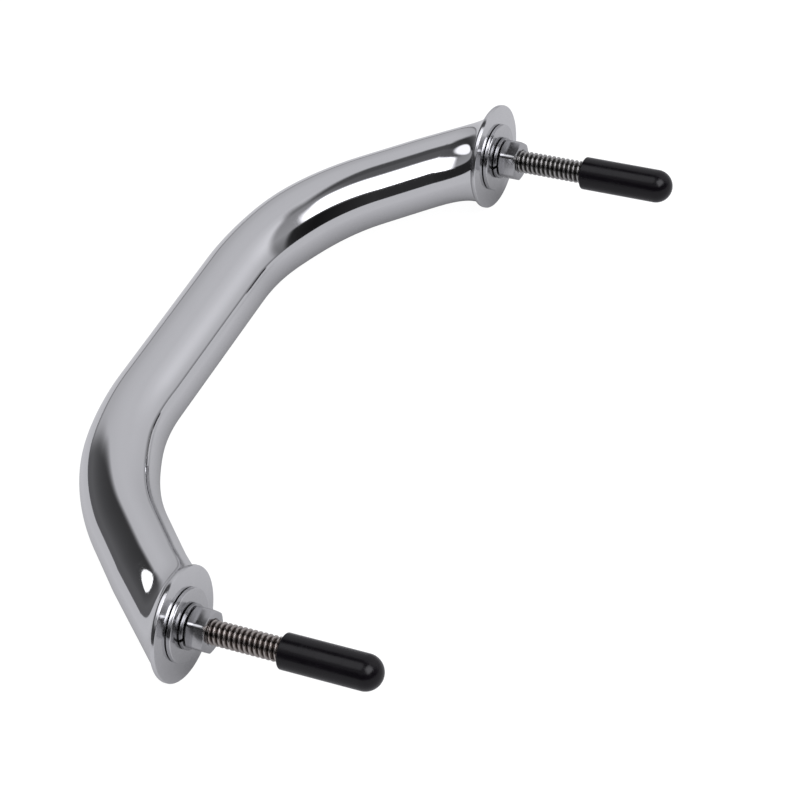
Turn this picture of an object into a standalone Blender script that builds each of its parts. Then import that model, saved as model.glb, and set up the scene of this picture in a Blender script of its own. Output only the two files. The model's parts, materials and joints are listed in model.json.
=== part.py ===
"""Bulkhead grab rail: a bent stainless tube on two welded flanges, each with a threaded stud,
a wide flat washer, a split spring washer, a hexagon nut and a vinyl cap over the stud's end.

Frame: X along the rail, Z up, and the front of the rail faces -Y. The flanges bear on the
plane Y = 0, so the bar stands in front of it and the studs run along +Y into the bulkhead.
The origin is midway between the two studs on that plane. Units are metres.
"""

import math

import bmesh
import bpy
from mathutils import Vector

# ---------------------------------------------------------------- driving dimensions

GAP = 0.0003  # clearance between pieces that touch each other
STUD_SPACING = 0.243  # between the two stud axes

# Rail tube: outer radii, and the bent centre line in the XY plane
BAR_HEIGHT = 0.0606  # bar axis above the mounting plane
BAR_RADIUS = 0.0123
BEND_SWELL_RADIUS = 0.0131  # the tube is fullest where the bends start
LEG_RADIUS = 0.0127
SWELL_LENGTH = 0.016  # how quickly the swelling fades along X
WALL = 0.0015
CORNER_INBOARD = 0.0548  # bar and leg axes meet this far inboard of the stud
BEND_RADIUS = 0.0837
KNEE_HEIGHT = 0.0207  # the leg steepens slightly below this height
KNEE_RADIUS = 0.0567
FOOT_ANGLE = math.radians(48.2)  # leg axis to the mounting plane, at the foot
FOOT_OUTBOARD = 0.0025  # leg axis meets the plane this far outboard of the stud
TUBE_SIDES = 32
BEND_STEP = math.radians(4.6)

# Welded foot
FLANGE_RADIUS = 0.0187
FLANGE_THICKNESS = 0.0021
FLANGE_ROUND = 0.0012  # rounding of the rim's front edge
FLANGE_BREAK = 0.0003  # broken edge at the back of the rim
LAND_RADIUS = 0.0126  # the back bears outside this radius and is relieved inside it
LAND_RELIEF = 0.0001
FILLET_REACH = 0.0175  # radius that the polished fillet covers on the flange
FILLET_LIP = 0.00025  # thickness of the fillet's feathered top edge
FILLET_RISE_INNER = 0.0165  # how far the fillet climbs the tube on the side of the hand gap
FILLET_RISE_OUTER = 0.0105
FILLET_BELLY = 0.006  # how full the flare is on that side
FILLET_PROFILE = (0.0, 0.25, 0.5, 0.75, 1.0)  # places along the flare's curve
FOOT_CLEAR = 0.0145  # no tube section nearer to the mitre than this, along the axis

# Stud and its inner weld
STUD_RADIUS = 0.004
STUD_LENGTH = 0.059  # reach of the stud behind the mounting plane
STUD_ROOT = 0.0085  # how far the stud reaches up inside the tube
STUD_CHAMFER = 0.0007
BORE_RADIUS = STUD_RADIUS + GAP
WELD_RADIUS = 0.0075
WELD_HEIGHT = 0.0035

# Fasteners
FLAT_RADIUS = 0.012
FLAT_THICKNESS = 0.0015
SPRING_RADIUS = 0.0074
SPRING_THICKNESS = 0.0012
SPRING_SPLIT = math.radians(9.0)
SPRING_SKEW = math.radians(7.0)  # the split is cut at a slant
NUT_ACROSS_FLATS = 0.013
NUT_HEIGHT = 0.0065
NUT_CHAMFER = math.radians(30.0)
NUT_TURNED = {"left": math.radians(46.8), "right": math.radians(55.3)}
ROUND_SIDES = 36

# Vinyl thread cap
CAP_MOUTH = 0.0344  # distance of the open end behind the mounting plane
CAP_RADIUS = 0.0058
CAP_LENGTH = 0.0331
CAP_END_WALL = 0.0022
CAP_EDGE = 0.0004

SHARP = math.radians(32.0)
TURN = 2 * math.pi


# ---------------------------------------------------------------- materials and objects

def steel(name, colour, roughness):
    return new_material(name, (*colour, 1.0), roughness, 1.0)


def new_material(name, colour, roughness, metallic):
    material = bpy.data.materials.new(name)
    material.use_nodes = True
    shader = material.node_tree.nodes["Principled BSDF"]
    shader.inputs["Base Color"].default_value = colour
    shader.inputs["Roughness"].default_value = roughness
    shader.inputs["Metallic"].default_value = metallic
    material.diffuse_color = colour
    return material


def clear_scene():
    for obj in list(bpy.data.objects):
        bpy.data.objects.remove(obj, do_unlink=True)


def end_empty(side, sign):
    """A parent at each stud's axis, on the mounting plane."""
    empty = bpy.data.objects.new(side + "_end", None)
    empty.empty_display_size = 0.02
    empty.location = (sign * STUD_SPACING / 2, 0.0, 0.0)
    bpy.context.scene.collection.objects.link(empty)
    return empty


def solid(name, loops, material, ring=True, parent=None, offset=0.0):
    """A closed body skinned over loops of points. A ring joins the last loop to the first."""
    mesh = bpy.data.meshes.new(name)
    build = bmesh.new()
    rows = [[build.verts.new(point) for point in loop] for loop in loops]
    pairs = list(zip(rows, rows[1:]))
    if ring:
        pairs.append((rows[-1], rows[0]))
    for near, far in pairs:
        for i in range(len(near)):
            j = (i + 1) % len(near)
            build.faces.new((near[i], near[j], far[j], far[i]))
    if not ring:
        build.faces.new(rows[0])
        build.faces.new(rows[-1])
    bmesh.ops.recalc_face_normals(build, faces=build.faces)
    build.to_mesh(mesh)
    build.free()
    mesh.shade_smooth()
    mesh.set_sharp_from_angle(angle=SHARP)
    mesh.materials.append(material)
    obj = bpy.data.objects.new(name, mesh)
    bpy.context.scene.collection.objects.link(obj)
    obj.parent = parent
    obj.location = (0.0, offset, 0.0)
    return obj


# ---------------------------------------------------------------- round pieces

def circle(radius, y, sides=ROUND_SIDES):
    """A loop about the Y axis."""
    angles = [TURN * i / sides for i in range(sides)]
    return [Vector((radius * math.cos(a), y, radius * math.sin(a))) for a in angles]


def turned(profile, sides=ROUND_SIDES):
    """Loops for a profile of (radius, y) points turned about the Y axis."""
    return [circle(radius, y, sides) for radius, y in profile]


def arc_profile(centre, radius, start, end, steps):
    """Profile points along an arc about centre, from one angle to another."""
    angles = [start + (end - start) * i / steps for i in range(steps + 1)]
    return [(centre[0] + radius * math.cos(a), centre[1] + radius * math.sin(a)) for a in angles]


# ---------------------------------------------------------------- rail tube

def rounded(points, radii):
    """The polyline through points with each inner corner rounded to a radius."""
    path = [points[0]]
    for before, corner, after, radius in zip(points, points[1:], points[2:], radii):
        into = (corner - before).normalized()
        out = (after - corner).normalized()
        turn = into.angle(out)
        tangent = radius * math.tan(turn / 2)
        side = (out - into * into.dot(out)).normalized()
        centre = corner - into * tangent + side * radius
        steps = max(2, math.ceil(turn / BEND_STEP))
        for i in range(steps + 1):
            a = turn * i / steps
            path.append(centre + into * radius * math.sin(a) - side * radius * math.cos(a))
    path.append(points[-1])
    return path


def subdivided(path, longest):
    """Adds points so that no step of the path is longer than this."""
    fine = [path[0]]
    for start, end in zip(path, path[1:]):
        steps = max(1, math.ceil((end - start).length / longest))
        fine += [start.lerp(end, i / steps) for i in range(1, steps + 1)]
    return fine


def foot_direction(sign):
    """Unit direction of the leg's axis as it reaches the mounting plane."""
    return Vector((sign * math.cos(FOOT_ANGLE), math.sin(FOOT_ANGLE), 0.0))


def foot_point(sign, y):
    """Point of the leg's axis at a distance y from the mounting plane."""
    meets = Vector((sign * (STUD_SPACING / 2 + FOOT_OUTBOARD), 0.0, 0.0))
    return meets + foot_direction(sign) * (y / math.sin(FOOT_ANGLE))


def centre_line():
    """The tube's axis from the left foot to the right one."""
    bar = Vector((0.0, -BAR_HEIGHT, 0.0))
    corner = Vector((STUD_SPACING / 2 - CORNER_INBOARD, -BAR_HEIGHT, 0.0))
    knee = foot_point(1, -KNEE_HEIGHT)
    mitre = foot_point(1, -(FLANGE_THICKNESS + GAP))
    half = subdivided(rounded([bar, corner, knee, mitre], [BEND_RADIUS, KNEE_RADIUS]), 0.011)
    last = half.pop()
    half = [p for p in half if (last - p).length > FOOT_CLEAR] + [last]
    return [Vector((-p.x, p.y, 0.0)) for p in reversed(half[1:])] + half


def outer_radius(x):
    """The tube's outer radius at a distance x along the rail."""
    past = abs(x) - (STUD_SPACING / 2 - CORNER_INBOARD)
    plain = LEG_RADIUS if past > 0 else BAR_RADIUS
    return plain + (BEND_SWELL_RADIUS - plain) * math.exp(-((past / SWELL_LENGTH) ** 2))


def tube_section(point, along, radius):
    side = along.cross(Vector((0.0, 0.0, 1.0))).normalized()
    up = Vector((0.0, 0.0, 1.0))
    angles = [TURN * i / TUBE_SIDES for i in range(TUBE_SIDES)]
    return [point + (side * math.cos(a) + up * math.sin(a)) * radius for a in angles]


def mitred(section, along, y):
    """The section slid along the axis onto the plane at y."""
    return [p + along * ((y - p.y) / along.y) for p in section]


def tube_wall(path, inset):
    loops = []
    for i, point in enumerate(path):
        before = path[max(i - 1, 0)]
        after = path[min(i + 1, len(path) - 1)]
        along = (after - before).normalized()
        section = tube_section(point, along, outer_radius(point.x) - inset)
        if i in (0, len(path) - 1):
            section = mitred(section, along, point.y)
        loops.append(section)
    return loops


def make_rail_tube(material):
    path = centre_line()
    outside = tube_wall(path, 0.0)
    inside = tube_wall(path, WALL)
    return solid("rail_tube", outside + inside[::-1], material)


# ---------------------------------------------------------------- welded foot

def make_flange(side, empty, material):
    edge = FLANGE_RADIUS - FLANGE_ROUND
    front = -FLANGE_THICKNESS
    profile = [
        (BORE_RADIUS, -LAND_RELIEF),
        (LAND_RADIUS - LAND_RELIEF, -LAND_RELIEF),
        (LAND_RADIUS, 0.0),
        (FLANGE_RADIUS - FLANGE_BREAK, 0.0),
        (FLANGE_RADIUS, -FLANGE_BREAK),
    ]
    profile += arc_profile((edge, front + FLANGE_ROUND), FLANGE_ROUND, 0.0, -math.pi / 2, 4)
    profile.append((BORE_RADIUS, front))
    return solid(side + "_flange", turned(profile), material, parent=empty)


def make_weld_fillet(side, sign, empty, material):
    """The ring of weld polished to a flare between the tube's mitred end and the flange."""
    along = foot_direction(sign)
    base = -(FLANGE_THICKNESS + GAP)
    shift = Vector((sign * STUD_SPACING / 2, 0.0, 0.0))
    foot = foot_point(sign, base) - shift
    hole = mitred(tube_section(foot, along, LEG_RADIUS + GAP), along, base)
    lip = mitred(tube_section(foot, along, LEG_RADIUS + GAP + FILLET_LIP), along, base)
    loops = [[], []] + [[] for _ in FILLET_PROFILE]
    for at_hole, at_lip in zip(hole, lip):
        outward = at_lip.x * sign / FLANGE_RADIUS
        lean = min(max((1 - outward) / 2, 0.0), 1.0)
        rise = FILLET_RISE_OUTER + (FILLET_RISE_INNER - FILLET_RISE_OUTER) * lean
        rim = Vector((at_lip.x, 0.0, at_lip.z)).normalized() * FILLET_REACH
        rim.y = base
        top = at_lip - along * rise
        turn = at_lip - along * FILLET_BELLY * lean
        loops[0].append(at_hole)
        loops[1].append(at_hole - along * rise)
        for loop, t in zip(loops[2:], FILLET_PROFILE):
            loop.append(top * (1 - t) ** 2 + turn * 2 * t * (1 - t) + rim * t ** 2)
    return solid(side + "_weld_fillet", loops, material, parent=empty)


def make_stud_weld(side, empty, material):
    """The bead round the stud's root, inside the tube."""
    base = -(FLANGE_THICKNESS + GAP)
    crown = WELD_RADIUS - BORE_RADIUS - 0.0006
    profile = [(BORE_RADIUS, base)]
    for i in range(6):
        a = math.pi / 2 * i / 5
        profile.append((BORE_RADIUS + 0.0006 + crown * math.cos(a), base - WELD_HEIGHT * math.sin(a)))
    profile.append((BORE_RADIUS, base - WELD_HEIGHT))
    return solid(side + "_stud_weld", turned(profile, 32), material, parent=empty)


def make_stud(side, empty, material):
    inner = -STUD_ROOT
    profile = [
        (STUD_RADIUS - STUD_CHAMFER, inner),
        (STUD_RADIUS, inner + STUD_CHAMFER),
        (STUD_RADIUS, STUD_LENGTH - STUD_CHAMFER),
        (STUD_RADIUS - STUD_CHAMFER, STUD_LENGTH),
    ]
    return solid(side + "_stud", turned(profile), material, ring=False, parent=empty)


# ---------------------------------------------------------------- fasteners and cap

def make_flat_washer(side, empty, material):
    edge = 0.00025
    profile = [
        (BORE_RADIUS, 0.0),
        (FLAT_RADIUS - edge, 0.0),
        (FLAT_RADIUS, edge),
        (FLAT_RADIUS, FLAT_THICKNESS - edge),
        (FLAT_RADIUS - edge, FLAT_THICKNESS),
        (BORE_RADIUS, FLAT_THICKNESS),
    ]
    washer = turned(profile)
    return solid(side + "_flat_washer", washer, material, parent=empty, offset=GAP)


def make_spring_washer(side, empty, material, offset):
    """A ring of square section, cut through at a slant."""
    steps = 40
    loops = []
    for i in range(steps + 1):
        part = i / steps
        low = SPRING_SPLIT + (TURN - SPRING_SPLIT) * part
        high = low + SPRING_SKEW
        corners = []
        for radius, y, a in (
            (BORE_RADIUS, 0.0, low),
            (SPRING_RADIUS, 0.0, low),
            (SPRING_RADIUS, SPRING_THICKNESS, high),
            (BORE_RADIUS, SPRING_THICKNESS, high),
        ):
            corners.append(Vector((radius * math.cos(a), y, radius * math.sin(a))))
        loops.append(corners)
    name = side + "_spring_washer"
    return solid(name, loops, material, ring=False, parent=empty, offset=offset)


def hexagon_radius(angle, across_flats):
    """Distance from the axis to a hexagon's side, with a corner at angle 0."""
    within = (angle + math.pi / 6) % (math.pi / 3) - math.pi / 6
    return across_flats / 2 / math.cos(math.pi / 6 - abs(within))


def make_nut(side, empty, material, offset):
    """A hexagon nut whose corners are chamfered by a cone at both ends."""
    flat = 0.96 * NUT_ACROSS_FLATS / 2
    countersink = 0.0005
    loops = [[], [], [], [], [], [], [], []]
    for i in range(ROUND_SIDES):
        a = TURN * i / ROUND_SIDES
        edge = hexagon_radius(a, NUT_ACROSS_FLATS)
        drop = (edge - flat) * math.tan(NUT_CHAMFER)
        section = (
            (BORE_RADIUS, countersink),
            (BORE_RADIUS + countersink, 0.0),
            (flat, 0.0),
            (edge, drop),
            (edge, NUT_HEIGHT - drop),
            (flat, NUT_HEIGHT),
            (BORE_RADIUS + countersink, NUT_HEIGHT),
            (BORE_RADIUS, NUT_HEIGHT - countersink),
        )
        for loop, (radius, y) in zip(loops, section):
            loop.append(Vector((radius * math.cos(a), y, radius * math.sin(a))))
    nut = solid(side + "_nut", loops, material, parent=empty, offset=offset)
    nut.rotation_euler.y = -NUT_TURNED[side]
    return nut


def make_thread_cap(side, empty, material):
    """A dipped vinyl sleeve with a rounded closed end."""
    dome = CAP_LENGTH - CAP_RADIUS
    floor = CAP_LENGTH - CAP_END_WALL
    tip = 0.0006
    profile = [
        (tip, floor),
        (BORE_RADIUS - 0.0012, floor - 0.0004),
        (BORE_RADIUS, floor - 0.002),
        (BORE_RADIUS, 0.0),
        (CAP_RADIUS - CAP_EDGE, 0.0),
        (CAP_RADIUS, CAP_EDGE),
    ]
    profile += arc_profile((0.0, dome), CAP_RADIUS, 0.0, math.acos(tip / CAP_RADIUS), 7)
    cap = turned(profile, 36)
    name = side + "_thread_cap"
    return solid(name, cap, material, ring=False, parent=empty, offset=CAP_MOUTH)


# ---------------------------------------------------------------- assembly

def make_end(side, sign, materials):
    empty = end_empty(side, sign)
    spring_at = 2 * GAP + FLAT_THICKNESS
    nut_at = spring_at + SPRING_THICKNESS + GAP
    make_flange(side, empty, materials["flange"])
    make_weld_fillet(side, sign, empty, materials["weld_fillet"])
    make_stud_weld(side, empty, materials["stud_weld"])
    make_stud(side, empty, materials["stud"])
    make_flat_washer(side, empty, materials["flat_washer"])
    make_spring_washer(side, empty, materials["spring_washer"], spring_at)
    make_nut(side, empty, materials["nut"], nut_at)
    make_thread_cap(side, empty, materials["thread_cap"])


def main():
    clear_scene()
    polished = (0.66, 0.66, 0.67)
    plain = (0.55, 0.55, 0.56)
    materials = {
        "rail_tube": steel("mirror_steel_tube", polished, 0.06),
        "flange": steel("mirror_steel_flange", polished, 0.08),
        "weld_fillet": steel("polished_weld", polished, 0.09),
        "stud_weld": steel("raw_weld", (0.42, 0.41, 0.40), 0.45),
        "stud": steel("rolled_thread_steel", (0.5, 0.48, 0.46), 0.3),
        "flat_washer": steel("bright_washer_steel", plain, 0.18),
        "spring_washer": steel("spring_washer_steel", (0.4, 0.4, 0.41), 0.28),
        "nut": steel("bright_nut_steel", plain, 0.2),
        "thread_cap": new_material("black_vinyl", (0.012, 0.012, 0.014, 1.0), 0.42, 0.0),
    }
    make_rail_tube(materials["rail_tube"])
    for side, sign in (("left", -1), ("right", 1)):
        make_end(side, sign, materials)


main()
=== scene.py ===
"""Stainless grab rail, lying on its side on a pale studio table.

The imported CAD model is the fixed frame: X along the rail, Y from the flanges towards the
caps, Z up. Every solid is replaced by a finer piece in the same place, in metres.
"""

import json
import math

import bmesh
import bpy
from mathutils import Matrix, Vector


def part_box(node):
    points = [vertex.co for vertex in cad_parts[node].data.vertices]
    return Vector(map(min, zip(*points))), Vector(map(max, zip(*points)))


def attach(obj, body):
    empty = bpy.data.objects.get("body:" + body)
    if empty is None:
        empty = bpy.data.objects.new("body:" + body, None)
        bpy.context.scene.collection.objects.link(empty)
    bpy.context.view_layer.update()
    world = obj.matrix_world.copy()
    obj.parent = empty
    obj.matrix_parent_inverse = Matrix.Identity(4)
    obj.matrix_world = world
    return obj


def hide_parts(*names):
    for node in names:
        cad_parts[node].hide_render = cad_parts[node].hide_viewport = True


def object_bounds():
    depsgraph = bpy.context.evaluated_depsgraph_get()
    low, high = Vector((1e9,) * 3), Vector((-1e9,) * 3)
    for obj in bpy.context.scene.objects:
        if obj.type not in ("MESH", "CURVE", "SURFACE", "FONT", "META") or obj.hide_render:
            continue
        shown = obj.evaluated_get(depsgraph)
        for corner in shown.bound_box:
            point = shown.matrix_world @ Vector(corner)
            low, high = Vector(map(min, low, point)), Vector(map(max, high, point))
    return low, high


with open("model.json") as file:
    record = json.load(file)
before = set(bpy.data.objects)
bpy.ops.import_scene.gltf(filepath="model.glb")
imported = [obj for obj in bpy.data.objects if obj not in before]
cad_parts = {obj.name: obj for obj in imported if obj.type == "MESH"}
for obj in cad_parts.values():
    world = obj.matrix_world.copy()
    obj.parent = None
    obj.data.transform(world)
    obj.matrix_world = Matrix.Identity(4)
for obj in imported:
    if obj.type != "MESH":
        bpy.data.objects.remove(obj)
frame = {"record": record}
cad_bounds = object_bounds()

SIDES = (("left", -1), ("right", 1))
TURN = 2 * math.pi
SHARP = math.radians(34.0)


def size_of(node):
    low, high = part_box(node)
    return high - low


def centre_of(node):
    low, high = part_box(node)
    return (low + high) / 2


# ---------------------------------------------------------------- dimensions

STUD_X = centre_of("right_stud").x
FLANGE_RADIUS = size_of("right_flange").z / 2
FLANGE_THICKNESS = size_of("right_flange").y
STUD_RADIUS = size_of("right_stud").z / 2
STUD_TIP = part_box("right_stud")[1].y
BAR_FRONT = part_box("rail_tube")[0].y

# Rail tube, as the CAD has it
BAR_RADIUS = 0.0123
BEND_SWELL_RADIUS = 0.0131
LEG_RADIUS = 0.0127
SWELL_LENGTH = 0.016
WALL = 0.0015
SWELL_PROUD = 0.00001  # the full bends reach this far in front of the bar
BAR_Y = BAR_FRONT + SWELL_PROUD + BAR_RADIUS
CORNER_INBOARD = 0.0548  # bar and leg axes meet this far inboard of the stud
BEND_RADIUS = 0.0837
KNEE_HEIGHT = 0.0207  # the leg steepens slightly below this height
KNEE_RADIUS = 0.0567
FOOT_ANGLE = math.radians(48.2)  # leg axis to the flange, at the foot
FOOT_OUTBOARD = 0.0025  # leg axis meets the flange's back this far outboard of the stud
TUBE_SIDES = 96
BEND_STEP = math.radians(1.2)
LONGEST_STEP = 0.004
FOOT_STEPS = 14

# Welded foot
FLANGE_ROUND = 0.0012
FLANGE_BREAK = 0.0003
FILLET_REACH = 0.0175  # radius that the flare covers on the flange
FILLET_SKIN = 0.0005
FILLET_RISE_INNER = 0.0165  # how far the flare climbs the leg on the hand's side
FILLET_RISE_OUTER = 0.0105
FILLET_BELLY = 0.006  # how full it is on the hand's side
FILLET_STEPS = 28

# Thread, right-handed
PITCH = 0.00175
THREAD_DEPTH = 0.00085
THREAD_CLEARANCE = 0.0001
THREAD_SAMPLES = 14
THREAD_SIDES = 48

# Hidden bead round the stud's root
BEAD_SIDES = 64
BEAD_STEPS = 12

ROUND_SIDES = 120
HEX_SIDES = 144
CAP_SIDES = 96

# Nut
NUT_ACROSS_FLATS = 0.013
NUT_FACE_RADIUS = 0.955 * NUT_ACROSS_FLATS / 2  # the flat ring left by the chamfer
NUT_CHAMFER = math.radians(30.0)
NUT_CORNER_ROUND = 0.00025
NUT_EDGE_EASE = 0.00012
NUT_MOUTH = STUD_RADIUS + 0.0004  # countersunk mouth of the bore
NUT_CREST_LIMIT = 0.0003
NUT_BORE_ROWS = 60
NUT_TURNED = {"left": math.radians(46.8), "right": math.radians(55.3)}

# Flat washer
LOOSE_BORE = STUD_RADIUS + 0.0003
STAMPED_ROLL = 0.00035
STAMPED_BORE_ROLL = 0.00025
STAMPED_BURR = 0.00012

# Spring washer
SPRING_RADIUS = 0.0074
SPRING_EDGE = 0.00022
SPRING_STEPS = 120
SPLIT = math.radians(9.0)
SPLIT_SKEW = math.radians(7.0)

# Vinyl cap
CAP_MOUTH_ROUND = 0.00045
CAP_END_WALL = 0.0022
CAP_POINT = 0.0002  # the dome and the bore's end close on a tiny flat


# ---------------------------------------------------------------- mesh building

def skin(name, loops, material, closed=True):
    """A closed body over loops of points, with UVs in metres: U round a loop, V across them.
    closed joins the last loop to the first; otherwise a flat cap closes each end."""
    build = bmesh.new()
    uv = build.loops.layers.uv.new("metres")
    rows = [[build.verts.new(point) for point in loop] for loop in loops]
    count = len(loops[0])
    across = [0.0]
    for near, far in zip(loops, loops[1:] + loops[:1]):
        across.append(across[-1] + sum((a - b).length for a, b in zip(near, far)) / count)
    around = []
    for loop in loops:
        lengths = [0.0]
        for a, b in zip(loop, loop[1:] + loop[:1]):
            lengths.append(lengths[-1] + (b - a).length)
        around.append(lengths)
    pairs = [(i, i + 1) for i in range(len(rows) - 1)]
    if closed:
        pairs.append((len(rows) - 1, 0))
    for row, (near, far) in enumerate(pairs):
        for i in range(count):
            j = (i + 1) % count
            face = build.faces.new((rows[near][i], rows[near][j], rows[far][j], rows[far][i]))
            corners = (
                (near, i, row), (near, i + 1, row), (far, i + 1, row + 1), (far, i, row + 1))
            for corner, (ring, step, line) in zip(face.loops, corners):
                corner[uv].uv = (around[ring][step], across[line])
    if not closed:
        build.faces.new(rows[0])
        build.faces.new(rows[-1])
    return finished(name, build, material)


def finished(name, build, material):
    """The built mesh as an object with one material, smooth except over sharp edges."""
    bmesh.ops.recalc_face_normals(build, faces=build.faces)
    mesh = bpy.data.meshes.new(name)
    build.to_mesh(mesh)
    build.free()
    mesh.shade_smooth()
    mesh.set_sharp_from_angle(angle=SHARP)
    mesh.materials.append(material)
    obj = bpy.data.objects.new(name, mesh)
    bpy.context.scene.collection.objects.link(obj)
    return obj


def place(obj, node, sign=0):
    """Puts a piece on its stud's axis, in the place of the CAD node it stands for."""
    obj.location.x = sign * STUD_X
    held = frame["record"]["behaviour"]["bodies"]
    bodies = {name: body for body, names in held.items() for name in names}
    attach(obj, bodies[node])
    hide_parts(node)
    return obj


def circle(radius, y, sides=ROUND_SIDES):
    """A loop about the Y axis."""
    angles = [TURN * i / sides for i in range(sides)]
    return [Vector((radius * math.cos(a), y, radius * math.sin(a))) for a in angles]


def turned(profile, sides=ROUND_SIDES):
    """Loops about the Y axis through (radius, y) points."""
    return [circle(radius, y, sides) for radius, y in profile]


def arc(centre, radius, start, end, steps):
    """Profile points along an arc about centre, with angles in degrees."""
    angles = [math.radians(start + (end - start) * i / steps) for i in range(steps + 1)]
    return [(centre[0] + radius * math.cos(a), centre[1] + radius * math.sin(a)) for a in angles]


# ---------------------------------------------------------------- rail tube and feet

def rounded(points, radii):
    """The polyline through points with each inner corner rounded to a radius."""
    path = [points[0]]
    for before, corner, after, radius in zip(points, points[1:], points[2:], radii):
        into = (corner - before).normalized()
        out = (after - corner).normalized()
        turn = into.angle(out)
        side = (out - into * into.dot(out)).normalized()
        centre = corner - into * radius * math.tan(turn / 2) + side * radius
        steps = max(2, math.ceil(turn / BEND_STEP))
        for i in range(steps + 1):
            a = turn * i / steps
            path.append(centre + into * radius * math.sin(a) - side * radius * math.cos(a))
    path.append(points[-1])
    return path


def subdivided(path, longest):
    """The path with points added so that no step is longer than given."""
    fine = [path[0]]
    for start, end in zip(path, path[1:]):
        steps = max(1, math.ceil((end - start).length / longest))
        fine += [start.lerp(end, i / steps) for i in range(1, steps + 1)]
    return fine


def foot_direction(sign):
    """Direction of the leg's axis, towards its foot."""
    return Vector((sign * math.cos(FOOT_ANGLE), math.sin(FOOT_ANGLE), 0.0))


def foot_point(sign, y):
    """Point of the leg's axis at a distance y from the mounting plane."""
    meets = Vector((sign * (STUD_X + FOOT_OUTBOARD), 0.0, 0.0))
    return meets + foot_direction(sign) * (y / math.sin(FOOT_ANGLE))


def outer_radius(x):
    """The tube's radius, which swells where each bend starts."""
    past = abs(x) - (STUD_X - CORNER_INBOARD)
    plain = LEG_RADIUS if past > 0 else BAR_RADIUS
    return plain + (BEND_SWELL_RADIUS - plain) * math.exp(-((past / SWELL_LENGTH) ** 2))


def tube_section(point, along, radius):
    """A loop of the tube, square to its axis."""
    side = along.cross(Vector((0.0, 0.0, 1.0))).normalized()
    up = Vector((0.0, 0.0, 1.0))
    angles = [TURN * i / TUBE_SIDES for i in range(TUBE_SIDES)]
    return [point + (side * math.cos(a) + up * math.sin(a)) * radius for a in angles]


def mitred(section, along, y):
    """The section slid along the axis onto the plane at y."""
    return [p + along * ((y - p.y) / along.y) for p in section]


def half_path():
    """The tube's axis from the middle of the bar to the end of the right knee bend."""
    bar = Vector((0.0, BAR_Y, 0.0))
    corner = Vector((STUD_X - CORNER_INBOARD, BAR_Y, 0.0))
    knee = foot_point(1, -KNEE_HEIGHT)
    foot = foot_point(1, -FLANGE_THICKNESS)
    path = rounded([bar, corner, knee, foot], [BEND_RADIUS, KNEE_RADIUS])
    return subdivided(path[:-1], LONGEST_STEP)


def half_tube(inset):
    """Loops from the middle of the bar to the right foot, cut square to the stud there."""
    path = half_path()
    loops = []
    for i, point in enumerate(path):
        before = path[max(i - 1, 0)]
        after = path[min(i + 1, len(path) - 1)]
        along = (after - before).normalized()
        if i == len(path) - 1:
            along = foot_direction(1)
        loops.append(tube_section(point, along, outer_radius(point.x) - inset))
    knee = loops[-1]
    radius = outer_radius(path[-1].x) - inset
    along = foot_direction(1)
    foot = tube_section(foot_point(1, -FLANGE_THICKNESS), along, radius)
    cut = mitred(foot, along, -FLANGE_THICKNESS)
    for i in range(1, FOOT_STEPS + 1):
        loops.append([a.lerp(b, i / FOOT_STEPS) for a, b in zip(knee, cut)])
    return loops


def mirrored(loop):
    return [Vector((-p.x, p.y, p.z)) for p in loop]


def whole_tube(inset):
    """Loops from the left foot to the right one."""
    right = half_tube(inset)
    return [mirrored(loop) for loop in reversed(right[1:])] + right


def make_rail_tube(material):
    """The bent tube, hollow from foot to foot."""
    outside = whole_tube(0.0)
    inside = whole_tube(WALL)
    place(skin("rail_tube_polished", outside + inside[::-1], material), "rail_tube")


def make_flange(side, sign, material):
    """The round disc under a foot, its rim rounded in front and broken behind."""
    edge = FLANGE_RADIUS - FLANGE_ROUND
    front = -FLANGE_THICKNESS
    bore = STUD_RADIUS + 0.0001
    profile = [
        (bore, 0.0),
        (FLANGE_RADIUS - FLANGE_BREAK, 0.0),
    ]
    profile += arc((FLANGE_RADIUS - FLANGE_BREAK, -FLANGE_BREAK), FLANGE_BREAK, 90, 0, 4)[1:]
    profile += arc((edge, front + FLANGE_ROUND), FLANGE_ROUND, 0, -90, 12)
    profile.append((bore, front))
    place(skin(side + "_flange_disc", turned(profile), material), side + "_flange", sign)


def make_fillet(side, sign, material):
    """The polished weld that flares from the tube's mitred end onto the flange."""
    along = foot_direction(sign)
    base = -FLANGE_THICKNESS
    shift = Vector((sign * STUD_X, 0.0, 0.0))
    foot = foot_point(sign, base) - shift
    radius = outer_radius(STUD_X - KNEE_HEIGHT)
    hole = mitred(tube_section(foot, along, radius - FILLET_SKIN), along, base)
    lip = mitred(tube_section(foot, along, radius), along, base)
    loops = [[] for _ in range(FILLET_STEPS + 3)]
    for at_hole, at_lip in zip(hole, lip):
        outward = at_lip.x * sign / FLANGE_RADIUS
        lean = min(max((1 - outward) / 2, 0.0), 1.0)
        rise = FILLET_RISE_OUTER + (FILLET_RISE_INNER - FILLET_RISE_OUTER) * lean
        rim = Vector((at_lip.x, 0.0, at_lip.z)).normalized() * FILLET_REACH
        rim.y = base
        top = at_lip - along * rise
        turn = at_lip - along * FILLET_BELLY * lean
        loops[0].append(at_hole)
        loops[1].append(at_hole - along * rise)
        for k in range(FILLET_STEPS + 1):
            t = k / FILLET_STEPS
            loops[k + 2].append(top * (1 - t) ** 2 + turn * 2 * t * (1 - t) + rim * t ** 2)
    place(skin(side + "_foot_flare", loops, material), side + "_weld_fillet", sign)


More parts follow.
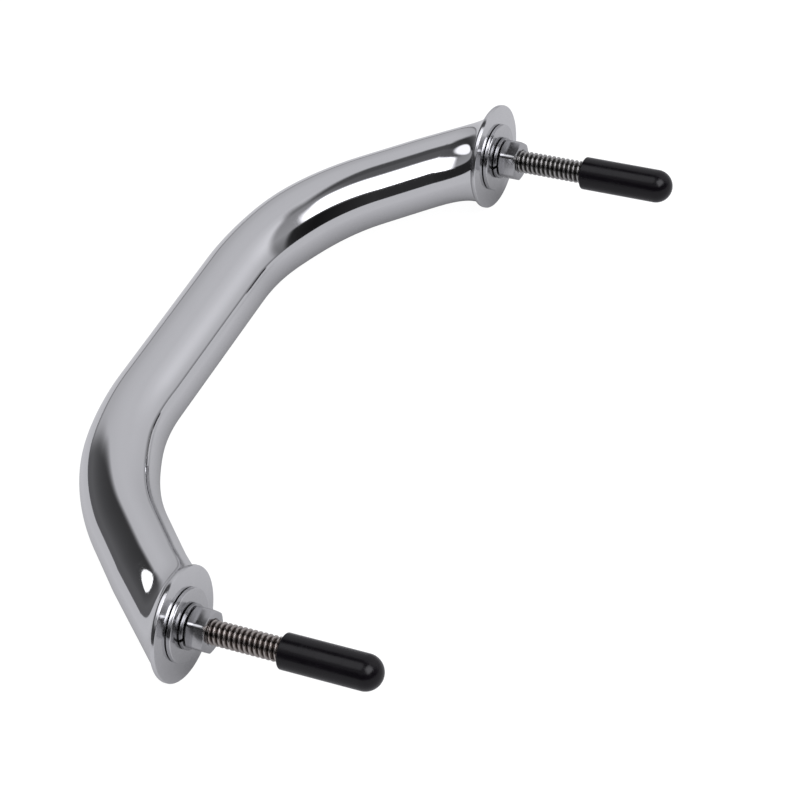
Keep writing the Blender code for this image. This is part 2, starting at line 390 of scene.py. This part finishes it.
def make_stud_weld(side, sign, material):
    """The bead round the stud's root, inside the tube."""
    low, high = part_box(side + "_stud_weld")
    profile = [(STUD_RADIUS, high.y)]
    crown = (high.z - low.z) / 2 - STUD_RADIUS
    rise = high.y - low.y
    for i in range(BEAD_STEPS + 1):
        a = math.pi / 2 * i / BEAD_STEPS
        profile.append((STUD_RADIUS + crown * math.cos(a), high.y - rise * math.sin(a)))
    bead = skin(side + "_root_bead", turned(profile, BEAD_SIDES), material)
    place(bead, side + "_stud_weld", sign)


# ---------------------------------------------------------------- threads

def thread_radius(angle, y):
    """Radius of the stud's rolled thread, with rounded crests and roots."""
    phase = (y / PITCH + angle / TURN) % 1.0
    ridge = abs(2 * phase - 1)
    ridge = min(max((ridge - 0.10) / 0.72, 0.0), 1.0)
    ridge = ridge * ridge * (3 - 2 * ridge)
    return STUD_RADIUS - THREAD_DEPTH * (1 - ridge)


def make_stud(side, sign, material):
    """A stud threaded along its whole reach behind the flange, with a coned tip."""
    step = PITCH / THREAD_SAMPLES
    plain_to = -FLANGE_THICKNESS
    run_out = PITCH
    build = bmesh.new()
    rows = []
    first = math.floor((plain_to - PITCH) / step)
    last = math.ceil((STUD_TIP + PITCH) / step)
    uv = build.loops.layers.uv.new("metres")
    for j in range(first, last + THREAD_SAMPLES + 1):
        row = []
        for i in range(THREAD_SIDES):
            angle = TURN * i / THREAD_SIDES
            y = j * step - PITCH * i / THREAD_SIDES
            start = min(max((y - plain_to) / run_out, 0.0), 1.0)
            thread = thread_radius(angle, y)
            radius = STUD_RADIUS + (thread - STUD_RADIUS) * start
            cone = STUD_RADIUS - THREAD_DEPTH * 1.1 + max(STUD_TIP - y, 0.0) * 0.9
            radius = min(radius, cone)
            row.append(build.verts.new((radius * math.cos(angle), y, radius * math.sin(angle))))
        rows.append(row)
    for j in range(len(rows) - 1):
        for i in range(THREAD_SIDES - 1):
            build.faces.new((rows[j][i], rows[j][i + 1], rows[j + 1][i + 1], rows[j + 1][i]))
    for j in range(len(rows) - 1 - THREAD_SAMPLES):
        near = j + THREAD_SAMPLES
        build.faces.new((rows[near][-1], rows[j][0], rows[j + 1][0], rows[near + 1][-1]))
    for face in build.faces:
        for corner in face.loops:
            co = corner.vert.co
            corner[uv].uv = (math.atan2(co.z, co.x) * STUD_RADIUS, co.y)
    for y, keep_above in ((plain_to, True), (STUD_TIP, False)):
        geometry = build.verts[:] + build.edges[:] + build.faces[:]
        bmesh.ops.bisect_plane(
            build, geom=geometry, plane_co=(0.0, y, 0.0), plane_no=(0.0, 1.0, 0.0),
            clear_inner=keep_above, clear_outer=not keep_above)
        open_edges = [edge for edge in build.edges if edge.is_boundary]
        rim = [edge for edge in open_edges if all(abs(v.co.y - y) < 1e-7 for v in edge.verts)]
        bmesh.ops.holes_fill(build, edges=rim, sides=0)
    bmesh.ops.remove_doubles(build, verts=build.verts, dist=1e-6)
    place(finished(side + "_threaded_stud", build, material), side + "_stud", sign)


# ---------------------------------------------------------------- fasteners

def hexagon_radius(angle):
    """Distance from the axis to the nut's side, with a slightly rounded corner at angle 0."""
    within = (angle + math.pi / 6) % (math.pi / 3) - math.pi / 6
    edge = NUT_ACROSS_FLATS / 2 / math.cos(math.pi / 6 - abs(within))
    corner = NUT_ACROSS_FLATS / 2 / math.cos(math.pi / 6) - NUT_CORNER_ROUND
    return edge if edge < corner else corner + (edge - corner) * 0.25


def nut_section(edge, bottom, top):
    """Outline of the nut's side at one angle, from the bore's lower mouth to its upper one."""
    flat = NUT_FACE_RADIUS
    ease = NUT_EDGE_EASE
    slope = math.tan(NUT_CHAMFER)
    drop = max((edge - flat) * slope, 0.00002)
    return (
        (NUT_MOUTH, bottom),
        (flat - ease, bottom),
        (flat + ease, bottom + ease * slope),
        (edge - ease * 0.6, bottom + drop - ease * 0.35),
        (edge, bottom + drop + ease),
        (edge, top - drop - ease),
        (edge - ease * 0.6, top - drop + ease * 0.35),
        (flat + ease, top - ease * slope),
        (flat - ease, top),
        (NUT_MOUTH, top),
    )


def make_nut(side, sign, material):
    """A hexagon nut chamfered on both faces, with a real thread in its bore."""
    low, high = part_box(side + "_nut")
    bottom, top = low.y, high.y
    angles = [TURN * i / HEX_SIDES for i in range(HEX_SIDES)]
    sections = [nut_section(hexagon_radius(a - NUT_TURNED[side]), bottom, top) for a in angles]
    loops = []
    for points in zip(*sections):
        around = zip(angles, points)
        loops.append([Vector((r * math.cos(a), y, r * math.sin(a))) for a, (r, y) in around])
    for k in range(1, NUT_BORE_ROWS):
        y = top - (top - bottom) * k / NUT_BORE_ROWS
        cone = NUT_MOUTH - min(top - y, y - bottom)
        widest = STUD_RADIUS + THREAD_CLEARANCE + NUT_CREST_LIMIT
        row = []
        for a in angles:
            radius = max(thread_radius(a, y) + THREAD_CLEARANCE, min(cone, widest))
            row.append(Vector((radius * math.cos(a), y, radius * math.sin(a))))
        loops.append(row)
    place(skin(side + "_hex_nut", loops, material), side + "_nut", sign)


def make_flat_washer(side, sign, material):
    """A stamped washer: rolled edge on the nut's side, sharp edge with a small burr behind."""
    low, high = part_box(side + "_flat_washer")
    radius = (high.z - low.z) / 2
    back, front = low.y, high.y
    burr, roll, inner = STAMPED_BURR, STAMPED_ROLL, STAMPED_BORE_ROLL
    profile = [(LOOSE_BORE, back + 0.0001), (LOOSE_BORE + 0.0001, back), (radius - 0.0002, back)]
    profile += arc((radius - burr, back + burr), burr, -90, 0, 3)
    profile += arc((radius - roll, front - roll), roll, 0, 90, 8)
    profile += arc((LOOSE_BORE + inner, front - inner), inner, 90, 180, 5)
    place(skin(side + "_wide_washer", turned(profile), material), side + "_flat_washer", sign)


def make_spring_washer(side, sign, material):
    """A ring of square section with broken edges, cut through at a slant."""
    low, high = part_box(side + "_spring_washer")
    thickness = high.y - low.y
    edge = SPRING_EDGE
    outer = SPRING_RADIUS - edge
    inner = LOOSE_BORE + edge
    section = arc((outer, edge), edge, -90, 0, 4)
    section += arc((outer, thickness - edge), edge, 0, 90, 4)
    section += arc((inner, thickness - edge), edge, 90, 180, 4)
    section += arc((inner, edge), edge, 180, 270, 4)
    loops = []
    for i in range(SPRING_STEPS + 1):
        at = SPLIT + (TURN - SPLIT) * i / SPRING_STEPS
        loop = []
        for radius, y in section:
            a = at + SPLIT_SKEW * y / thickness
            loop.append(Vector((radius * math.cos(a), low.y + y, radius * math.sin(a))))
        loops.append(loop)
    ring = skin(side + "_split_washer", loops, material, closed=False)
    place(ring, side + "_spring_washer", sign)


def make_cap(side, sign, material):
    """A dipped vinyl sleeve with a soft-edged mouth and a domed end."""
    low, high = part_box(side + "_thread_cap")
    radius = (high.z - low.z) / 2
    mouth, tip = low.y, high.y
    bore = LOOSE_BORE
    edge = CAP_MOUTH_ROUND
    floor = tip - CAP_END_WALL
    profile = [(CAP_POINT, floor), (bore - 0.0012, floor - 0.0003), (bore - 0.0003, floor - 0.0009)]
    profile += [(bore, floor - 0.002), (bore, mouth + 0.0003), (bore + 0.0002, mouth)]
    profile += arc((radius - edge, mouth + edge), edge, -90, 0, 6)
    profile += arc((0.0, tip - radius), radius, 0, 88, 24)
    sleeve = skin(side + "_vinyl_cap", turned(profile, CAP_SIDES), material, closed=False)
    place(sleeve, side + "_thread_cap", sign)


# ---------------------------------------------------------------- node helper

class Tree:
    """Adds nodes to one node tree; any input takes a number, a tuple or another socket."""

    def __init__(self, tree):
        self.tree = tree

    def node(self, kind, inputs=None, **settings):
        node = self.tree.nodes.new(kind)
        for name, value in settings.items():
            setattr(node, name, value)
        for key, value in (inputs or {}).items():
            self.feed(node.inputs[key], value)
        return node

    def feed(self, socket, value):
        if isinstance(value, bpy.types.NodeSocket):
            self.tree.links.new(value, socket)
        else:
            socket.default_value = value

    def math(self, operation, *values):
        node = self.node("ShaderNodeMath", operation=operation)
        for socket, value in zip(node.inputs, values):
            self.feed(socket, value)
        return node.outputs[0]

    def step(self, value, low, high, at_low=0.0, at_high=1.0):
        """Goes smoothly from at_low to at_high as value goes from low to high."""
        node = self.node("ShaderNodeMapRange", interpolation_type="SMOOTHSTEP")
        for socket, given in zip(node.inputs, (value, low, high, at_low, at_high)):
            self.feed(socket, given)
        return node.outputs[0]

    def mix(self, share, first, second):
        """Number mix: first where share is 0, second where it is 1."""
        node = self.node("ShaderNodeMix", data_type="FLOAT")
        self.feed(node.inputs[0], share)
        self.feed(node.inputs[2], first)
        self.feed(node.inputs[3], second)
        return node.outputs[0]

    def curve(self, value, low, high, points):
        """A piecewise linear function of value, from its (place, height) points."""
        place = self.node("ShaderNodeMapRange", inputs={0: value, 1: low, 2: high})
        ramp = self.node("ShaderNodeValToRGB", inputs={0: place.outputs[0]})
        elements = ramp.color_ramp.elements
        while len(elements) < len(points):
            elements.new(0.5)
        for element, (at, height) in zip(elements, points):
            element.position = (at - low) / (high - low)
            element.color = (height, height, height, 1.0)
        return ramp.outputs[0]


# ---------------------------------------------------------------- materials

STEEL = (0.66, 0.66, 0.672)
TURNING_MARKS = 2600  # in a metre


class Finish(Tree):
    """One surface finish: a Principled shader and the patterns that drive it."""

    def __init__(self, name, metallic=1.0):
        self.material = bpy.data.materials.new(name)
        self.material.use_nodes = True
        super().__init__(self.material.node_tree)
        self.shader = self.material.node_tree.nodes["Principled BSDF"]
        self.shader.inputs["Metallic"].default_value = metallic
        coordinates = self.node("ShaderNodeTexCoord")
        self.place = coordinates.outputs["Object"]
        self.unrolled = coordinates.outputs["UV"]

    def radius(self):
        """Distance from the stud's axis."""
        parts = self.node("ShaderNodeSeparateXYZ", inputs={0: self.place})
        x, _, z = parts.outputs
        squares = self.math("ADD", self.math("MULTIPLY", x, x), self.math("MULTIPLY", z, z))
        return self.math("SQRT", squares)

    def noise(self, vector, per_metre, detail=2.0, stretch=(1.0, 1.0, 1.0)):
        """Noise with about per_metre grains in a metre, stretched along each axis."""
        scaled = self.node("ShaderNodeVectorMath", operation="MULTIPLY", inputs={
            0: vector, 1: stretch})
        grain = self.node("ShaderNodeTexNoise", inputs={
            "Vector": scaled.outputs[0], "Scale": per_metre, "Detail": detail})
        return grain.outputs["Fac"]

    def rings(self, per_metre):
        """Fine turning marks round the stud's axis, uneven in depth."""
        across = self.node("ShaderNodeCombineXYZ", inputs={0: self.radius()})
        return self.noise(across.outputs[0], per_metre, 3.0)

    def colour(self, share, first, second):
        """Base colour: first where share is 0, second where it is 1."""
        mix = self.node("ShaderNodeMix", data_type="RGBA")
        self.feed(mix.inputs[0], share)
        mix.inputs[6].default_value = (*first, 1.0)
        mix.inputs[7].default_value = (*second, 1.0)
        self.feed(self.shader.inputs["Base Color"], mix.outputs[2])

    def roughness(self, share, low, high):
        """Roughness from low to high as a pattern goes through its middle range."""
        self.feed(self.shader.inputs["Roughness"], self.step(share, 0.3, 0.7, low, high))

    def relief(self, height, depth):
        """Bump of a height field between 0 and 1, depth metres deep."""
        bump = self.node("ShaderNodeBump", inputs={
            "Height": height, "Distance": depth, "Strength": 1.0})
        self.feed(self.shader.inputs["Normal"], bump.outputs["Normal"])


def polished_tube(name, low, high):
    """Mirror polish: belt marks round the tube, and a few faint hazy patches."""
    finish = Finish(name)
    marks = finish.noise(finish.unrolled, 300, 3.0, (0.05, 4.0, 1.0))
    haze = finish.noise(finish.place, 45, 2.0)
    finish.colour(haze, tuple(c * 0.985 for c in STEEL), tuple(c * 1.015 for c in STEEL))
    finish.roughness(finish.mix(0.5, marks, haze), low, high)
    finish.relief(marks, 0.0000012)
    return finish.material


def turned_steel(name, dark, light, low, high, depth):
    """A lathe-turned face: rings, fine scratches and slightly uneven colour."""
    finish = Finish(name)
    rings = finish.rings(TURNING_MARKS)
    scratches = finish.noise(finish.place, 700, 4.0, (1.0, 0.3, 1.0))
    finish.colour(finish.noise(finish.place, 160, 3.0), dark, light)
    finish.roughness(finish.mix(0.45, rings, scratches), low, high)
    finish.relief(finish.mix(0.3, rings, scratches), depth)
    return finish.material


def weld_bead(name):
    """A bead left as laid: heat tint from straw to grey, and ripples."""
    finish = Finish(name)
    tint = finish.noise(finish.place, 350, 3.0)
    ripple = finish.noise(finish.place, 900, 2.0)
    finish.colour(tint, (0.40, 0.36, 0.30), (0.30, 0.31, 0.34))
    finish.roughness(ripple, 0.35, 0.55)
    finish.relief(ripple, 0.00012)
    return finish.material


def rolled_thread(name, crest, root):
    """Bright rolled crests over roots that take a near-black colour as painted shade, with uneven
    blotching.
    """
    finish = Finish(name)
    blotching = finish.noise(finish.place, 500, 3.0)
    low = STUD_RADIUS - THREAD_DEPTH * 0.95
    high = STUD_RADIUS - THREAD_DEPTH * 0.15
    height = finish.step(finish.radius(), low, high)
    # Painted shade: the colour falls to the near-black root colour down in the thread's grooves.
    shade = finish.math("MULTIPLY", height, finish.step(blotching, 0.2, 0.8, 0.85, 1.0))
    finish.colour(shade, root, crest)
    finish.roughness(blotching, 0.17, 0.28)
    finish.relief(finish.noise(finish.place, 1600, 2.0), 0.000004)
    return finish.material


def drawn_steel(name, dark, light, low, high):
    """Spring wire: lines drawn along it, rolled round the stud."""
    finish = Finish(name)
    lines = finish.noise(finish.unrolled, 2500, 3.0, (1.0, 0.04, 1.0))
    finish.colour(finish.noise(finish.place, 260, 2.0), dark, light)
    finish.roughness(lines, low, high)
    finish.relief(lines, 0.000006)
    return finish.material


def dipped_vinyl(name):
    """Near-black vinyl: a soft sheen over a fine orange peel, slightly uneven in colour."""
    finish = Finish(name, metallic=0.0)
    peel = finish.noise(finish.place, 900, 3.0)
    drift = finish.noise(finish.place, 150, 2.0)
    finish.colour(drift, (0.0030, 0.0022, 0.0036), (0.0052, 0.0042, 0.0060))
    finish.roughness(finish.mix(0.5, peel, drift), 0.20, 0.28)
    finish.relief(peel, 0.00002)
    finish.shader.inputs["Specular IOR Level"].default_value = 0.26
    return finish.material


# ---------------------------------------------------------------- studio

TONE_GAMMA = 2.2
ROOM_TINT = (0.985, 0.985, 1.03)
SOFT_BOX_RADIANCE = 4.0
PATCH_RADIANCE = 1.5
BACKDROP_RADIANCE = 1.05

TABLE_RADIUS = 1.4
TABLE_THICKNESS = 0.02
TABLE_SIDES = 64
TABLE_TO_CAMERA = 0.95
TABLE_MATT = 0.16
TABLE_GLOW = 0.68
TABLE_SHADE = 0.9
TABLE_SHADE_REACH = 0.045

FOOT_LAMP_DISTANCE = 0.06
FOOT_LAMP_ACROSS = 0.039
FOOT_LAMP_ALONG = 0.0068
FOOT_LAMP_TILT = math.radians(4.9)
FOOT_LAMP_RADIANCE = 1.6
FOOT_LAMP_AIM = Vector((STUD_X - 0.0035, -0.0095, 0.0131))

CAMERA_LENS = 128.75
CAMERA_SENSOR = 36.0
CAMERA_PLACE = Vector((0.6135, 0.3784, 0.6240))
CAMERA_FORWARD = Vector((-0.6440, -0.3801, -0.6639))
CAMERA_UP = Vector((-0.6435, -0.2001, 0.7388))


def direction(azimuth, elevation):
    """Unit vector for an azimuth from +Y towards -X and an elevation, in degrees."""
    a = math.radians(azimuth)
    e = math.radians(elevation)
    return Vector((-math.sin(a) * math.cos(e), math.cos(a) * math.cos(e), math.sin(e)))


class Room(Tree):
    """The world's node tree: brightness as seen in the tube, by azimuth and elevation."""

    def __init__(self, world):
        super().__init__(world.node_tree)
        self.tree.nodes.clear()
        self.heading = self.node("ShaderNodeTexCoord").outputs["Generated"]
        x, y, z = self.node("ShaderNodeSeparateXYZ", inputs={0: self.heading}).outputs
        turn = self.math("ARCTAN2", self.math("MULTIPLY", x, -1.0), y)
        self.azimuth = self.math("MULTIPLY", turn, math.degrees(1))
        self.elevation = self.math("MULTIPLY", self.math("ARCSINE", z), math.degrees(1))

    def by_azimuth(self, low, high, points):
        return self.curve(self.azimuth, low, high, points)

    def rising(self, *points):
        """A tone that changes from the horizon up to the zenith."""
        return self.curve(self.elevation, 0, 90, points)

    def beyond(self, first, second, soft):
        """1 on one side of the edge seen through two (azimuth, elevation) points, 0 beyond."""
        normal = direction(*first).cross(direction(*second)).normalized()
        dot = self.node("ShaderNodeVectorMath", operation="DOT_PRODUCT", inputs={
            0: self.heading, 1: normal})
        width = math.sin(math.radians(soft))
        return self.step(dot.outputs["Value"], -width, width)

    def within(self, middle, inner, outer):
        """1 inside a round patch, falling to 0 between two radii in degrees."""
        dot = self.node("ShaderNodeVectorMath", operation="DOT_PRODUCT", inputs={
            0: self.heading, 1: middle})
        edges = math.cos(math.radians(outer)), math.cos(math.radians(inner))
        return self.step(dot.outputs["Value"], *edges)


def floor_tone(room):
    return room.curve(room.elevation, -90, 0, (
        (-90, 0.54), (-70, 0.60), (-50, 0.665), (-25, 0.700), (-12, 0.700), (-6, 0.66), (-3, 0.55),
        (-1, 0.40)))


def wall_tone(room):
    """Grey walls with a dark skirting, under a dark ceiling whose edge is a straight cornice."""
    low = room.by_azimuth(20, 160, (
        (20, 0.60), (30, 0.645), (40, 0.675), (65, 0.69), (90, 0.655), (110, 0.64), (140, 0.63)))
    high = room.by_azimuth(20, 160, (
        (20, 0.74), (30, 0.79), (42, 0.80), (65, 0.735), (90, 0.70), (110, 0.70), (140, 0.68)))
    wall = room.mix(room.step(room.elevation, 5, 40), low, high)
    wall = room.mix(room.step(room.elevation, -1, 6), 0.44, wall)
    spread = room.math("MULTIPLY", room.math("SUBTRACT", room.azimuth, 82.0), math.radians(1))
    rise = room.math("MULTIPLY", room.math("COSINE", spread), 2.25)
    cornice = room.math("MULTIPLY", room.math("ARCTANGENT", rise), math.degrees(1))
    over = room.math("SUBTRACT", room.elevation, cornice)
    return room.mix(room.step(over, -2.0, 3.0), wall, 0.275)


def add_dark_side(room, tone):
    """The dark side of the room behind the rail, its edge leaning in as it rises."""
    edge = room.rising((0, 156), (15, 152), (30, 147), (44, 137), (55, 126), (90, 100))
    past = room.math("SUBTRACT", room.azimuth, edge)
    behind = room.rising(
        (0, 0.33), (12, 0.335), (28, 0.30), (38, 0.225), (48, 0.20), (60, 0.26), (90, 0.28))
    near = room.rising((0, 0.33), (12, 0.34), (28, 0.27), (45, 0.21), (90, 0.27))
    far = room.rising(
        (0, 0.40), (10, 0.34), (20, 0.20), (30, 0.10), (48, 0.10), (62, 0.22), (90, 0.27))
    side = room.mix(room.step(room.azimuth, -178, -150), behind, near)
    far_share = room.math(
        "MULTIPLY", room.step(room.azimuth, -168, -148), room.step(room.azimuth, 20, 0))
    side = room.mix(far_share, side, far)
    share = room.math("MAXIMUM", room.step(past, -7, 7), room.step(room.azimuth, -30, -60))
    return room.mix(share, tone, side)


def add_left_side(room, tone):
    """Left of the walls: a dim gap, and a black flag under the soft box."""
    gap = room.rising((0, 0.40), (20, 0.47), (34, 0.55), (60, 0.50), (72, 0.34), (90, 0.30))
    flag = room.by_azimuth(-120, 20, (
        (-120, 0.22), (-70, 0.15), (-45, 0.15), (-30, 0.19), (-8, 0.14), (2, 0.11), (12, 0.16),
        (20, 0.28)))
    past_wall = room.math(
        "MULTIPLY", room.beyond((25, 0), (44, 60), 4.0), room.step(room.azimuth, -160, -140))
    tone = room.mix(past_wall, tone, gap)
    past_gap = room.math(
        "MULTIPLY", room.beyond((18, 0), (13, 34), 3.0), room.step(room.azimuth, -165, -140))
    under_box = room.step(room.elevation, 29, 35, 1.0, 0.0)
    return room.mix(room.math("MULTIPLY", past_gap, under_box), tone, flag)


def soft_box(room):
    """Share of a four-sided soft box in each direction, its two far edges blurred."""
    box = room.beyond((8, 34), (27, 60), 2.0)
    box = room.math("MULTIPLY", box, room.beyond((-35, 33), (8, 33.5), 1.2))
    box = room.math("MULTIPLY", box, room.beyond((25, 62), (-20, 71), 5.0))
    return room.math("MULTIPLY", box, room.beyond((-59, 66), (-46, 33), 6.0))


def make_studio():
    """The light room: soft box over a black flag, grey walls, dark ceiling, pale floor."""
    world = bpy.data.worlds.new("studio")
    bpy.context.scene.world = world
    world.use_nodes = True
    room = Room(world)
    tone = add_left_side(room, add_dark_side(room, wall_tone(room)))
    tone = room.mix(room.step(room.elevation, -0.6, 0.6), floor_tone(room), tone)
    light = room.math("DIVIDE", room.math("POWER", tone, TONE_GAMMA), STEEL[0])
    light = room.mix(room.within(direction(-148, 66), 17, 24), light, PATCH_RADIANCE)
    light = room.mix(soft_box(room), light, SOFT_BOX_RADIANCE)
    tint = room.node("ShaderNodeCombineColor", inputs={
        channel: room.math("MULTIPLY", light, ROOM_TINT[channel]) for channel in range(3)})
    studio = room.node("ShaderNodeBackground", inputs={"Color": tint.outputs[0]})
    backdrop = room.node("ShaderNodeBackground", inputs={
        "Color": (1.0, 1.0, 1.0, 1.0), "Strength": BACKDROP_RADIANCE})
    to_camera = room.node("ShaderNodeLightPath").outputs["Is Camera Ray"]
    both = room.node("ShaderNodeMixShader", inputs={
        0: to_camera, 1: studio.outputs[0], 2: backdrop.outputs[0]})
    room.node("ShaderNodeOutputWorld", inputs={"Surface": both.outputs[0]})


def table_material():
    """Near-white to the camera with only a faint shadow; to the steel, a pale glowing floor with
    painted shade near the rail.
    """
    material = bpy.data.materials.new("pale_table")
    material.use_nodes = True
    material.node_tree.nodes.clear()
    tree = Tree(material.node_tree)
    glow = tree.node("ShaderNodeEmission", inputs={
        "Color": (1.0, 1.0, 1.0, 1.0), "Strength": TABLE_TO_CAMERA})
    matt = tree.node("ShaderNodeBsdfDiffuse", inputs={
        "Color": (TABLE_MATT, TABLE_MATT, TABLE_MATT, 1.0)})
    lit = tree.node("ShaderNodeAddShader", inputs={0: glow.outputs[0], 1: matt.outputs[0]})
    # Painted shade: the floor that the steel reflects glows, darkened by ambient occlusion near the
    # rail.
    open_sky = tree.node("ShaderNodeAmbientOcclusion", samples=6, inputs={
        "Distance": TABLE_SHADE_REACH})
    shade = tree.math("POWER", open_sky.outputs["AO"], TABLE_SHADE)
    reflected_floor_painted_shade = tree.node("ShaderNodeEmission", inputs={
        "Color": (*ROOM_TINT, 1.0), "Strength": tree.math("MULTIPLY", shade, TABLE_GLOW)})
    to_camera = tree.node("ShaderNodeLightPath").outputs["Is Camera Ray"]
    both = tree.node("ShaderNodeMixShader", inputs={
        0: to_camera, 1: reflected_floor_painted_shade.outputs[0], 2: lit.outputs[0]})
    tree.node("ShaderNodeOutputMaterial", inputs={"Surface": both.outputs[0]})
    return material


def make_table():
    """A plain round table top that the rail lies on."""
    top = cad_bounds[0][2]
    outline = circle(TABLE_RADIUS, 0.0, TABLE_SIDES)
    loops = []
    for drop in (0.0, TABLE_THICKNESS):
        loops.append([Vector((point.x, point.z, top - drop)) for point in outline])
    table = skin("table", loops, table_material(), closed=False)
    table.visible_shadow = False


def make_foot_lamp():
    """A small lamp beside the right foot, for the one oval highlight on its polished leg."""
    leg = foot_direction(1)
    away = direction(161, 38)
    data = bpy.data.lights.new("foot_lamp", "AREA")
    data.shape = "ELLIPSE"
    data.size = FOOT_LAMP_ACROSS
    data.size_y = FOOT_LAMP_ALONG
    area = math.pi / 4 * data.size * data.size_y
    data.energy = FOOT_LAMP_RADIANCE * math.pi * area
    data.color = (0.985, 0.985, 1.0)
    lamp = bpy.data.objects.new("foot_lamp", data)
    across = leg.cross(away).normalized()
    along = away.cross(across)
    turn = Matrix((across, along, away)).transposed().to_4x4()
    tilt = Matrix.Rotation(FOOT_LAMP_TILT, 4, "Z")
    place_at = FOOT_LAMP_AIM + away * FOOT_LAMP_DISTANCE
    lamp.matrix_world = Matrix.Translation(place_at) @ turn @ tilt
    lamp.visible_camera = False
    lamp.visible_shadow = False
    bpy.context.scene.collection.objects.link(lamp)
    receivers = bpy.data.collections.new("foot_lamp_receivers")
    for name in ("rail_tube_polished", "right_foot_flare"):
        receivers.objects.link(bpy.data.objects[name])
    lamp.light_linking.receiver_collection = receivers


def make_camera():
    """At the photograph's viewing angle, with the long lens that fits its perspective."""
    data = bpy.data.cameras.new("photo_camera")
    data.sensor_width = CAMERA_SENSOR
    data.lens = CAMERA_LENS
    data.clip_start = 0.01
    camera = bpy.data.objects.new("photo_camera", data)
    forward = CAMERA_FORWARD.normalized()
    right = forward.cross(CAMERA_UP).normalized()
    up = right.cross(forward)
    turn = Matrix((right, up, -forward)).transposed().to_4x4()
    camera.matrix_world = Matrix.Translation(CAMERA_PLACE) @ turn
    bpy.context.scene.collection.objects.link(camera)
    bpy.context.scene.camera = camera


# ---------------------------------------------------------------- assembly

def main():
    tube_steel = polished_tube("mirror_steel_tube", 0.035, 0.075)
    flare_steel = polished_tube("mirror_steel_flare", 0.04, 0.09)
    flange_steel = turned_steel(
        "mirror_steel_flange", (0.62, 0.62, 0.632), (0.67, 0.67, 0.682), 0.12, 0.19, 0.0000006)
    bead_steel = weld_bead("raw_weld_steel")
    washer_steel = turned_steel(
        "stamped_washer_steel", (0.54, 0.54, 0.55), (0.60, 0.60, 0.61), 0.15, 0.22, 0.0000006)
    spring_steel = drawn_steel(
        "spring_washer_steel", (0.32, 0.32, 0.33), (0.42, 0.42, 0.43), 0.20, 0.30)
    nut_steel = turned_steel(
        "turned_nut_steel", (0.44, 0.44, 0.45), (0.50, 0.50, 0.51), 0.11, 0.18, 0.0000008)
    vinyl = dipped_vinyl("black_vinyl")
    crests = {"left": (0.46, 0.45, 0.44), "right": (0.48, 0.44, 0.415)}
    # The near-black root colours are painted shade in the threads' grooves.
    roots = {"left": (0.05, 0.047, 0.044), "right": (0.055, 0.042, 0.037)}
    make_rail_tube(tube_steel)
    for side, sign in SIDES:
        make_flange(side, sign, flange_steel)
        make_fillet(side, sign, flare_steel)
        make_stud_weld(side, sign, bead_steel)
        make_stud(side, sign, rolled_thread("rolled_thread_" + side, crests[side], roots[side]))
        make_flat_washer(side, sign, washer_steel)
        make_spring_washer(side, sign, spring_steel)
        make_nut(side, sign, nut_steel)
        make_cap(side, sign, vinyl)
    make_table()
    make_studio()
    make_foot_lamp()
    make_camera()
    view = bpy.context.scene.view_settings
    view.view_transform = "Standard"
    view.look = "None"


main()
